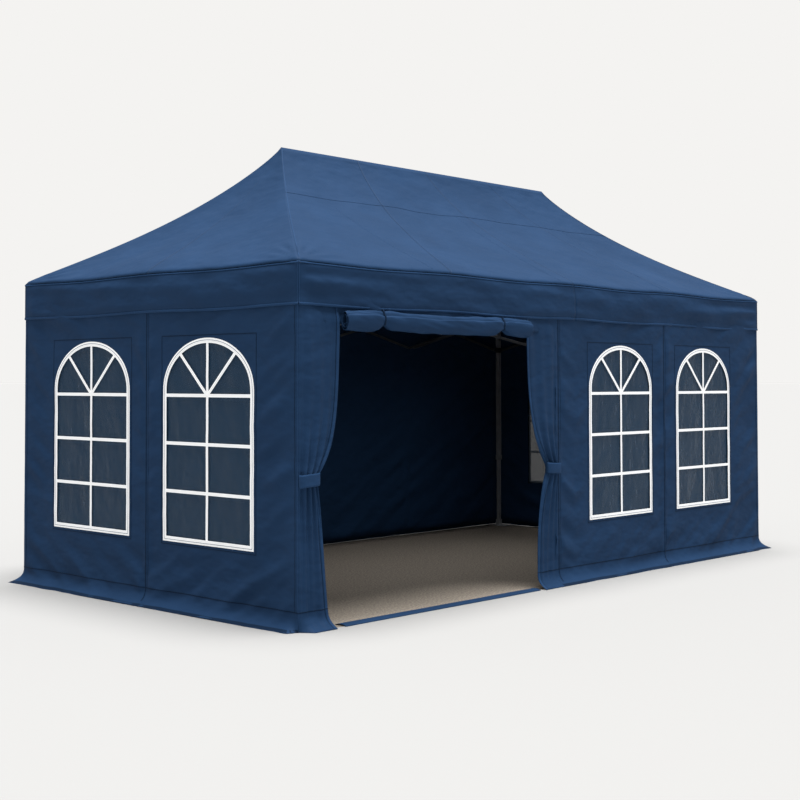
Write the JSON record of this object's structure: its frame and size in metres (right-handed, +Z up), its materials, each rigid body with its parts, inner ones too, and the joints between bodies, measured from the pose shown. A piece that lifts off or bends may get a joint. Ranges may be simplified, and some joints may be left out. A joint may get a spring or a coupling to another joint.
{
  "type": "pop up canopy",
  "caption": "Folding pop-up canopy tent: hip roof, side walls with arched windows and a tied-back doorway, on a scissor frame with sliding legs.",
  "frame": {"origin": "on the ground, in the middle of the footprint", "axes": "+X along the long side, +Y from the door side to the plain back wall, +Z up"},
  "size_m": [6.084, 3.184, 3.3177],
  "materials": {
    "navy_cloth": "woven polyester, matt",
    "floor_weave": "coarse woven floor sheet",
    "clear_pane": "thin clear film, slightly wrinkled",
    "white_trim": "woven tape",
    "grey_tube": "hammered powder coat",
    "zinc_tube": "galvanised",
    "black_plastic": "moulded",
    "bar_metal": "painted grey"
  },
  "bodies": {
    "front_middle_leg": {"upper_leg_front_middle": "grey_tube", "roof_canopy": "navy_cloth", "front_wall": "navy_cloth", "side_walls": "navy_cloth", "window_panes": "clear_pane", "window_frames": "white_trim", "ground_sheet": "floor_weave"},
    "front_left_leg": {"upper_leg_front_left": "grey_tube"},
    "front_right_leg": {"upper_leg_front_right": "grey_tube"},
    "back_left_leg": {"upper_leg_back_left": "grey_tube"},
    "back_middle_leg": {"upper_leg_back_middle": "grey_tube"},
    "back_right_leg": {"upper_leg_back_right": "grey_tube"},
    "front_left_slider": {"slider_front_left": "black_plastic"},
    "front_left_lower_leg": {"lower_leg_front_left": "zinc_tube"},
    "front_middle_slider": {"slider_front_middle": "black_plastic"},
    "front_middle_lower_leg": {"lower_leg_front_middle": "zinc_tube"},
    "front_right_slider": {"slider_front_right": "black_plastic"},
    "front_right_lower_leg": {"lower_leg_front_right": "zinc_tube"},
    "back_left_slider": {"slider_back_left": "black_plastic"},
    "back_left_lower_leg": {"lower_leg_back_left": "zinc_tube"},
    "back_middle_slider": {"slider_back_middle": "black_plastic"},
    "back_middle_lower_leg": {"lower_leg_back_middle": "zinc_tube"},
    "back_right_slider": {"slider_back_right": "black_plastic"},
    "back_right_lower_leg": {"lower_leg_back_right": "zinc_tube"},
    "front_right_truss_bar_1": {"front_right_truss_bar_1": "bar_metal"},
    "front_right_truss_bar_2": {"front_right_truss_bar_2": "bar_metal"},
    "front_right_truss_bar_3": {"front_right_truss_bar_3": "bar_metal"},
    "front_right_truss_bar_4": {"front_right_truss_bar_4": "bar_metal"},
    "front_left_truss_bar_1": {"front_left_truss_bar_1": "bar_metal"},
    "front_left_truss_bar_2": {"front_left_truss_bar_2": "bar_metal"},
    "front_left_truss_bar_3": {"front_left_truss_bar_3": "bar_metal"},
    "front_left_truss_bar_4": {"front_left_truss_bar_4": "bar_metal"},
    "right_end_truss_bar_1": {"right_end_truss_bar_1": "bar_metal"},
    "right_end_truss_bar_2": {"right_end_truss_bar_2": "bar_metal"},
    "right_end_truss_bar_3": {"right_end_truss_bar_3": "bar_metal"},
    "right_end_truss_bar_4": {"right_end_truss_bar_4": "bar_metal"},
    "left_end_truss_bar_1": {"left_end_truss_bar_1": "bar_metal"},
    "left_end_truss_bar_2": {"left_end_truss_bar_2": "bar_metal"},
    "left_end_truss_bar_3": {"left_end_truss_bar_3": "bar_metal"},
    "left_end_truss_bar_4": {"left_end_truss_bar_4": "bar_metal"},
    "back_right_truss_bar_1": {"back_right_truss_bar_1": "bar_metal"},
    "back_right_truss_bar_2": {"back_right_truss_bar_2": "bar_metal"},
    "back_right_truss_bar_3": {"back_right_truss_bar_3": "bar_metal"},
    "back_right_truss_bar_4": {"back_right_truss_bar_4": "bar_metal"},
    "back_left_truss_bar_1": {"back_left_truss_bar_1": "bar_metal"},
    "back_left_truss_bar_2": {"back_left_truss_bar_2": "bar_metal"},
    "back_left_truss_bar_3": {"back_left_truss_bar_3": "bar_metal"},
    "back_left_truss_bar_4": {"back_left_truss_bar_4": "bar_metal"},
    "cross_left_bar_1": {"cross_left_bar_1": "bar_metal"},
    "cross_left_bar_2": {"cross_left_bar_2": "bar_metal"},
    "cross_left_bar_3": {"cross_left_bar_3": "bar_metal"},
    "cross_left_bar_4": {"cross_left_bar_4": "bar_metal"},
    "cross_stud_left": {"cross_stud_left": "black_plastic"},
    "king_post_left": {"king_post_left": "bar_metal"},
    "cross_right_bar_1": {"cross_right_bar_1": "bar_metal"},
    "cross_right_bar_2": {"cross_right_bar_2": "bar_metal"},
    "cross_right_bar_3": {"cross_right_bar_3": "bar_metal"},
    "cross_right_bar_4": {"cross_right_bar_4": "bar_metal"},
    "cross_stud_right": {"cross_stud_right": "black_plastic"},
    "king_post_right": {"king_post_right": "bar_metal"}
  },
  "joints": [
    {"name": "canopy_fold", "type": "hinge", "parent": "front_middle_leg", "child": "front_right_truss_bar_1", "pos_m": [0.056, -1.45, 2.21], "axis": [0, 1, 0], "range_deg": [0, 70], "deforming": ["roof_canopy", "front_wall", "side_walls", "window_panes", "window_frames", "ground_sheet"]},
    {"name": "front_right_truss_bar_2_pivot", "type": "hinge", "parent": "front_right_truss_bar_1", "child": "front_right_truss_bar_2", "pos_m": [0.753, -1.45, 2.04], "axis": [0, 1, 0], "range_deg": [-140, 0]},
    {"name": "front_right_truss_bar_3_pivot", "type": "hinge", "parent": "front_right_truss_bar_1", "child": "front_right_truss_bar_3", "pos_m": [1.45, -1.45, 1.87], "axis": [0, 1, 0], "range_deg": [-140, 0]},
    {"name": "front_right_truss_bar_4_pivot", "type": "hinge", "parent": "front_right_truss_bar_3", "child": "front_right_truss_bar_4", "pos_m": [2.147, -1.45, 2.04], "axis": [0, 1, 0], "range_deg": [0, 140]},
    {"name": "front_middle_slider_pivot", "type": "hinge", "parent": "front_right_truss_bar_2", "child": "front_middle_slider", "pos_m": [0.056, -1.45, 1.87], "axis": [0, 1, 0], "range_deg": [0, 70]},
    {"name": "front_right_leg_pivot", "type": "hinge", "parent": "front_right_truss_bar_3", "child": "front_right_leg", "pos_m": [2.844, -1.45, 2.21], "axis": [0, 1, 0], "range_deg": [0, 70]},
    {"name": "front_right_slider_pivot", "type": "hinge", "parent": "front_right_truss_bar_4", "child": "front_right_slider", "pos_m": [2.844, -1.45, 1.87], "axis": [0, 1, 0], "range_deg": [-70, 0]},
    {"name": "front_left_truss_bar_1_pivot", "type": "hinge", "parent": "front_middle_leg", "child": "front_left_truss_bar_1", "pos_m": [-0.056, -1.45, 2.21], "axis": [0, -1, 0], "range_deg": [0, 70]},
    {"name": "front_left_truss_bar_2_pivot", "type": "hinge", "parent": "front_left_truss_bar_1", "child": "front_left_truss_bar_2", "pos_m": [-0.753, -1.45, 2.04], "axis": [0, -1, 0], "range_deg": [-140, 0]},
    {"name": "front_left_truss_bar_3_pivot", "type": "hinge", "parent": "front_left_truss_bar_1", "child": "front_left_truss_bar_3", "pos_m": [-1.45, -1.45, 1.87], "axis": [0, -1, 0], "range_deg": [-140, 0]},
    {"name": "front_left_truss_bar_4_pivot", "type": "hinge", "parent": "front_left_truss_bar_3", "child": "front_left_truss_bar_4", "pos_m": [-2.147, -1.45, 2.04], "axis": [0, -1, 0], "range_deg": [0, 140]},
    {"name": "front_left_leg_pivot", "type": "hinge", "parent": "front_left_truss_bar_3", "child": "front_left_leg", "pos_m": [-2.844, -1.45, 2.21], "axis": [0, -1, 0], "range_deg": [0, 70]},
    {"name": "front_left_slider_pivot", "type": "hinge", "parent": "front_left_truss_bar_4", "child": "front_left_slider", "pos_m": [-2.844, -1.45, 1.87], "axis": [0, -1, 0], "range_deg": [-70, 0]},
    {"name": "right_end_truss_bar_1_pivot", "type": "hinge", "parent": "front_right_leg", "child": "right_end_truss_bar_1", "pos_m": [2.9, -1.394, 2.21], "axis": [-1, 0, 0], "range_deg": [0, 70]},
    {"name": "right_end_truss_bar_2_pivot", "type": "hinge", "parent": "right_end_truss_bar_1", "child": "right_end_truss_bar_2", "pos_m": [2.9, -0.697, 2.04], "axis": [-1, 0, 0], "range_deg": [-140, 0]},
    {"name": "right_end_truss_bar_3_pivot", "type": "hinge", "parent": "right_end_truss_bar_1", "child": "right_end_truss_bar_3", "pos_m": [2.9, 0, 1.87], "axis": [-1, 0, 0], "range_deg": [-140, 0]},
    {"name": "right_end_truss_bar_4_pivot", "type": "hinge", "parent": "right_end_truss_bar_3", "child": "right_end_truss_bar_4", "pos_m": [2.9, 0.697, 2.04], "axis": [-1, 0, 0], "range_deg": [0, 140]},
    {"name": "back_right_leg_pivot", "type": "hinge", "parent": "right_end_truss_bar_3", "child": "back_right_leg", "pos_m": [2.9, 1.394, 2.21], "axis": [-1, 0, 0], "range_deg": [0, 70]},
    {"name": "back_right_slider_pivot", "type": "hinge", "parent": "right_end_truss_bar_4", "child": "back_right_slider", "pos_m": [2.9, 1.394, 1.87], "axis": [-1, 0, 0], "range_deg": [-70, 0]},
    {"name": "left_end_truss_bar_1_pivot", "type": "hinge", "parent": "front_left_leg", "child": "left_end_truss_bar_1", "pos_m": [-2.9, -1.394, 2.21], "axis": [-1, 0, 0], "range_deg": [0, 70]},
    {"name": "left_end_truss_bar_2_pivot", "type": "hinge", "parent": "left_end_truss_bar_1", "child": "left_end_truss_bar_2", "pos_m": [-2.9, -0.697, 2.04], "axis": [-1, 0, 0], "range_deg": [-140, 0]},
    {"name": "left_end_truss_bar_3_pivot", "type": "hinge", "parent": "left_end_truss_bar_1", "child": "left_end_truss_bar_3", "pos_m": [-2.9, 0, 1.87], "axis": [-1, 0, 0], "range_deg": [-140, 0]},
    {"name": "left_end_truss_bar_4_pivot", "type": "hinge", "parent": "left_end_truss_bar_3", "child": "left_end_truss_bar_4", "pos_m": [-2.9, 0.697, 2.04], "axis": [-1, 0, 0], "range_deg": [0, 140]},
    {"name": "back_left_leg_pivot", "type": "hinge", "parent": "left_end_truss_bar_3", "child": "back_left_leg", "pos_m": [-2.9, 1.394, 2.21], "axis": [-1, 0, 0], "range_deg": [0, 70]},
    {"name": "back_left_slider_pivot", "type": "hinge", "parent": "left_end_truss_bar_4", "child": "back_left_slider", "pos_m": [-2.9, 1.394, 1.87], "axis": [-1, 0, 0], "range_deg": [-70, 0]},
    {"name": "back_right_truss_bar_1_pivot", "type": "hinge", "parent": "back_right_leg", "child": "back_right_truss_bar_1", "pos_m": [2.844, 1.45, 2.21], "axis": [0, -1, 0], "range_deg": [0, 70]},
    {"name": "back_right_truss_bar_2_pivot", "type": "hinge", "parent": "back_right_truss_bar_1", "child": "back_right_truss_bar_2", "pos_m": [2.147, 1.45, 2.04], "axis": [0, -1, 0], "range_deg": [-140, 0]},
    {"name": "back_right_truss_bar_3_pivot", "type": "hinge", "parent": "back_right_truss_bar_1", "child": "back_right_truss_bar_3", "pos_m": [1.45, 1.45, 1.87], "axis": [0, -1, 0], "range_deg": [-140, 0]},
    {"name": "back_right_truss_bar_4_pivot", "type": "hinge", "parent": "back_right_truss_bar_3", "child": "back_right_truss_bar_4", "pos_m": [0.753, 1.45, 2.04], "axis": [0, -1, 0], "range_deg": [0, 140]},
    {"name": "back_middle_leg_pivot", "type": "hinge", "parent": "back_right_truss_bar_3", "child": "back_middle_leg", "pos_m": [0.056, 1.45, 2.21], "axis": [0, -1, 0], "range_deg": [0, 70]},
    {"name": "back_middle_slider_pivot", "type": "hinge", "parent": "back_right_truss_bar_4", "child": "back_middle_slider", "pos_m": [0.056, 1.45, 1.87], "axis": [0, -1, 0], "range_deg": [-70, 0]},
    {"name": "back_left_truss_bar_1_pivot", "type": "hinge", "parent": "back_left_leg", "child": "back_left_truss_bar_1", "pos_m": [-2.844, 1.45, 2.21], "axis": [0, 1, 0], "range_deg": [0, 70]},
    {"name": "back_left_truss_bar_2_pivot", "type": "hinge", "parent": "back_left_truss_bar_1", "child": "back_left_truss_bar_2", "pos_m": [-2.147, 1.45, 2.04], "axis": [0, 1, 0], "range_deg": [-140, 0]},
    {"name": "back_left_truss_bar_3_pivot", "type": "hinge", "parent": "back_left_truss_bar_1", "child": "back_left_truss_bar_3", "pos_m": [-1.45, 1.45, 1.87], "axis": [0, 1, 0], "range_deg": [-140, 0]},
    {"name": "back_left_truss_bar_4_pivot", "type": "hinge", "parent": "back_left_truss_bar_3", "child": "back_left_truss_bar_4", "pos_m": [-0.753, 1.45, 2.04], "axis": [0, 1, 0], "range_deg": [0, 140]},
    {"name": "cross_stud_left_pivot", "type": "hinge", "parent": "front_left_truss_bar_2", "child": "cross_stud_left", "pos_m": [-1.45, -1.45, 2.21], "axis": [0, -1, 0], "range_deg": [0, 70]},
    {"name": "cross_left_bar_1_pivot", "type": "hinge", "parent": "cross_stud_left", "child": "cross_left_bar_1", "pos_m": [-1.45, -1.394, 2.21], "axis": [-1, 0, 0], "range_deg": [0, 70]},
    {"name": "cross_left_bar_2_pivot", "type": "hinge", "parent": "cross_left_bar_1", "child": "cross_left_bar_2", "pos_m": [-1.45, -0.697, 2.04], "axis": [-1, 0, 0], "range_deg": [-140, 0]},
    {"name": "cross_left_bar_3_pivot", "type": "hinge", "parent": "cross_left_bar_1", "child": "cross_left_bar_3", "pos_m": [-1.45, 0, 1.87], "axis": [-1, 0, 0], "range_deg": [-140, 0]},
    {"name": "cross_left_bar_4_pivot", "type": "hinge", "parent": "cross_left_bar_3", "child": "cross_left_bar_4", "pos_m": [-1.45, 0.697, 2.04], "axis": [-1, 0, 0], "range_deg": [0, 140]},
    {"name": "king_post_left_pivot", "type": "hinge", "parent": "cross_left_bar_1", "child": "king_post_left", "pos_m": [-1.45, 0, 1.87], "axis": [-1, 0, 0], "range_deg": [-70, 0]},
    {"name": "cross_stud_right_pivot", "type": "hinge", "parent": "front_right_truss_bar_2", "child": "cross_stud_right", "pos_m": [1.45, -1.45, 2.21], "axis": [0, 1, 0], "range_deg": [0, 70]},
    {"name": "cross_right_bar_1_pivot", "type": "hinge", "parent": "cross_stud_right", "child": "cross_right_bar_1", "pos_m": [1.45, -1.394, 2.21], "axis": [-1, 0, 0], "range_deg": [0, 70]},
    {"name": "cross_right_bar_2_pivot", "type": "hinge", "parent": "cross_right_bar_1", "child": "cross_right_bar_2", "pos_m": [1.45, -0.697, 2.04], "axis": [-1, 0, 0], "range_deg": [-140, 0]},
    {"name": "cross_right_bar_3_pivot", "type": "hinge", "parent": "cross_right_bar_1", "child": "cross_right_bar_3", "pos_m": [1.45, 0, 1.87], "axis": [-1, 0, 0], "range_deg": [-140, 0]},
    {"name": "cross_right_bar_4_pivot", "type": "hinge", "parent": "cross_right_bar_3", "child": "cross_right_bar_4", "pos_m": [1.45, 0.697, 2.04], "axis": [-1, 0, 0], "range_deg": [0, 140]},
    {"name": "king_post_right_pivot", "type": "hinge", "parent": "cross_right_bar_1", "child": "king_post_right", "pos_m": [1.45, 0, 1.87], "axis": [-1, 0, 0], "range_deg": [-70, 0]},
    {"name": "front_left_leg_height", "type": "slide", "parent": "front_left_leg", "child": "front_left_lower_leg", "axis": [0, 0, 1], "range_m": [0, 0.62]},
    {"name": "front_middle_leg_height", "type": "slide", "parent": "front_middle_leg", "child": "front_middle_lower_leg", "axis": [0, 0, 1], "range_m": [0, 0.62]},
    {"name": "front_right_leg_height", "type": "slide", "parent": "front_right_leg", "child": "front_right_lower_leg", "axis": [0, 0, 1], "range_m": [0, 0.62]},
    {"name": "back_left_leg_height", "type": "slide", "parent": "back_left_leg", "child": "back_left_lower_leg", "axis": [0, 0, 1], "range_m": [0, 0.62]},
    {"name": "back_middle_leg_height", "type": "slide", "parent": "back_middle_leg", "child": "back_middle_lower_leg", "axis": [0, 0, 1], "range_m": [0, 0.62]},
    {"name": "back_right_leg_height", "type": "slide", "parent": "back_right_leg", "child": "back_right_lower_leg", "axis": [0, 0, 1], "range_m": [0, 0.62]}
  ],
  "couplings": [
    {"joint": "front_right_truss_bar_2_pivot", "follows": "canopy_fold", "ratio": -2},
    {"joint": "front_right_truss_bar_3_pivot", "follows": "canopy_fold", "ratio": -2},
    {"joint": "front_right_truss_bar_4_pivot", "follows": "canopy_fold", "ratio": 2},
    {"joint": "front_middle_slider_pivot", "follows": "canopy_fold", "ratio": 1},
    {"joint": "front_right_leg_pivot", "follows": "canopy_fold", "ratio": 1},
    {"joint": "front_right_slider_pivot", "follows": "canopy_fold", "ratio": -1},
    {"joint": "front_left_truss_bar_1_pivot", "follows": "canopy_fold", "ratio": 1},
    {"joint": "front_left_truss_bar_2_pivot", "follows": "canopy_fold", "ratio": -2},
    {"joint": "front_left_truss_bar_3_pivot", "follows": "canopy_fold", "ratio": -2},
    {"joint": "front_left_truss_bar_4_pivot", "follows": "canopy_fold", "ratio": 2},
    {"joint": "front_left_leg_pivot", "follows": "canopy_fold", "ratio": 1},
    {"joint": "front_left_slider_pivot", "follows": "canopy_fold", "ratio": -1},
    {"joint": "right_end_truss_bar_1_pivot", "follows": "canopy_fold", "ratio": 1},
    {"joint": "right_end_truss_bar_2_pivot", "follows": "canopy_fold", "ratio": -2},
    {"joint": "right_end_truss_bar_3_pivot", "follows": "canopy_fold", "ratio": -2},
    {"joint": "right_end_truss_bar_4_pivot", "follows": "canopy_fold", "ratio": 2},
    {"joint": "back_right_leg_pivot", "follows": "canopy_fold", "ratio": 1},
    {"joint": "back_right_slider_pivot", "follows": "canopy_fold", "ratio": -1},
    {"joint": "left_end_truss_bar_1_pivot", "follows": "canopy_fold", "ratio": 1},
    {"joint": "left_end_truss_bar_2_pivot", "follows": "canopy_fold", "ratio": -2},
    {"joint": "left_end_truss_bar_3_pivot", "follows": "canopy_fold", "ratio": -2},
    {"joint": "left_end_truss_bar_4_pivot", "follows": "canopy_fold", "ratio": 2},
    {"joint": "back_left_leg_pivot", "follows": "canopy_fold", "ratio": 1},
    {"joint": "back_left_slider_pivot", "follows": "canopy_fold", "ratio": -1},
    {"joint": "back_right_truss_bar_1_pivot", "follows": "canopy_fold", "ratio": 1},
    {"joint": "back_right_truss_bar_2_pivot", "follows": "canopy_fold", "ratio": -2},
    {"joint": "back_right_truss_bar_3_pivot", "follows": "canopy_fold", "ratio": -2},
    {"joint": "back_right_truss_bar_4_pivot", "follows": "canopy_fold", "ratio": 2},
    {"joint": "back_middle_leg_pivot", "follows": "canopy_fold", "ratio": 1},
    {"joint": "back_middle_slider_pivot", "follows": "canopy_fold", "ratio": -1},
    {"joint": "back_left_truss_bar_1_pivot", "follows": "canopy_fold", "ratio": 1},
    {"joint": "back_left_truss_bar_2_pivot", "follows": "canopy_fold", "ratio": -2},
    {"joint": "back_left_truss_bar_3_pivot", "follows": "canopy_fold", "ratio": -2},
    {"joint": "back_left_truss_bar_4_pivot", "follows": "canopy_fold", "ratio": 2},
    {"joint": "cross_stud_left_pivot", "follows": "canopy_fold", "ratio": 1},
    {"joint": "cross_left_bar_1_pivot", "follows": "canopy_fold", "ratio": 1},
    {"joint": "cross_left_bar_2_pivot", "follows": "canopy_fold", "ratio": -2},
    {"joint": "cross_left_bar_3_pivot", "follows": "canopy_fold", "ratio": -2},
    {"joint": "cross_left_bar_4_pivot", "follows": "canopy_fold", "ratio": 2},
    {"joint": "king_post_left_pivot", "follows": "canopy_fold", "ratio": -1},
    {"joint": "cross_stud_right_pivot", "follows": "canopy_fold", "ratio": 1},
    {"joint": "cross_right_bar_1_pivot", "follows": "canopy_fold", "ratio": 1},
    {"joint": "cross_right_bar_2_pivot", "follows": "canopy_fold", "ratio": -2},
    {"joint": "cross_right_bar_3_pivot", "follows": "canopy_fold", "ratio": -2},
    {"joint": "cross_right_bar_4_pivot", "follows": "canopy_fold", "ratio": 2},
    {"joint": "king_post_right_pivot", "follows": "canopy_fold", "ratio": -1}
  ]
}
